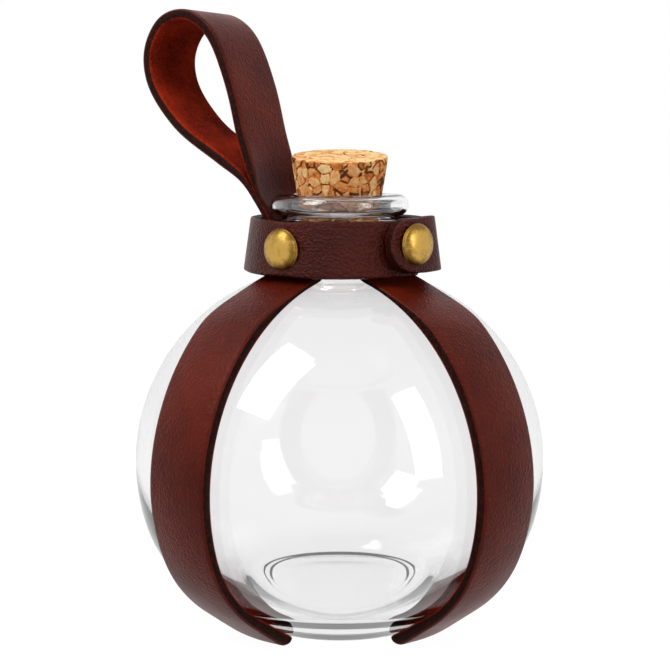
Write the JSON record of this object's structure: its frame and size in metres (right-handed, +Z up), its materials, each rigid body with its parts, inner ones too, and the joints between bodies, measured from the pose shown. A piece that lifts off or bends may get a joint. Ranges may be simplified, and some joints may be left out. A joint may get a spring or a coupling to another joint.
{
  "type": "potion bottle",
  "caption": "Round clear glass bottle with a tapered cork, held in a riveted leather harness with a snap collar and a teardrop belt loop.",
  "frame": {"origin": "on the ground under the middle of the glass base", "axes": "+Z up along the bottle's axis, -Y towards the front between the two straps, +X to the right"},
  "size_m": [0.1001, 0.1, 0.1491],
  "materials": {
    "glass": "clear, fire polished",
    "cork": "agglomerated cork granules, matt",
    "leather": "dark reddish brown, smooth grain, dark burnished edges",
    "brass": "antique, domed and polished"
  },
  "bodies": {
    "bottle": {"glass_bottle": "glass", "left_strap": "leather", "right_strap": "leather", "neck_collar": "leather", "belt_loop_tails": "leather", "left_rivet_cap": "brass", "left_rivet_post": "brass", "rear_rivet_cap": "brass", "rear_rivet_post": "brass", "snap_stud": "brass", "snap_post": "brass"},
    "cork": {"cork_stopper": "cork"},
    "tab": {"collar_tab": "leather", "snap_cap": "brass", "snap_socket": "brass"},
    "loop": {"belt_loop": "leather"}
  },
  "joints": [
    {"name": "cork_pull", "type": "slide", "parent": "bottle", "child": "cork", "axis": [0, 0, 1], "range_m": [0, 0.045]},
    {"name": "tab_flex", "type": "hinge", "parent": "bottle", "child": "tab", "pos_m": [0.02269, -0.01418, 0.09302], "axis": [0, 0, 1], "range_deg": [0, 75], "stiffness_Nm_per_rad": 0.02},
    {"name": "loop_flex", "type": "hinge", "parent": "bottle", "child": "loop", "pos_m": [-0.0171, 0.01153, 0.1034], "axis": [-0.559, -0.8292, 0], "range_deg": [-15, 25], "stiffness_Nm_per_rad": 0.1}
  ]
}
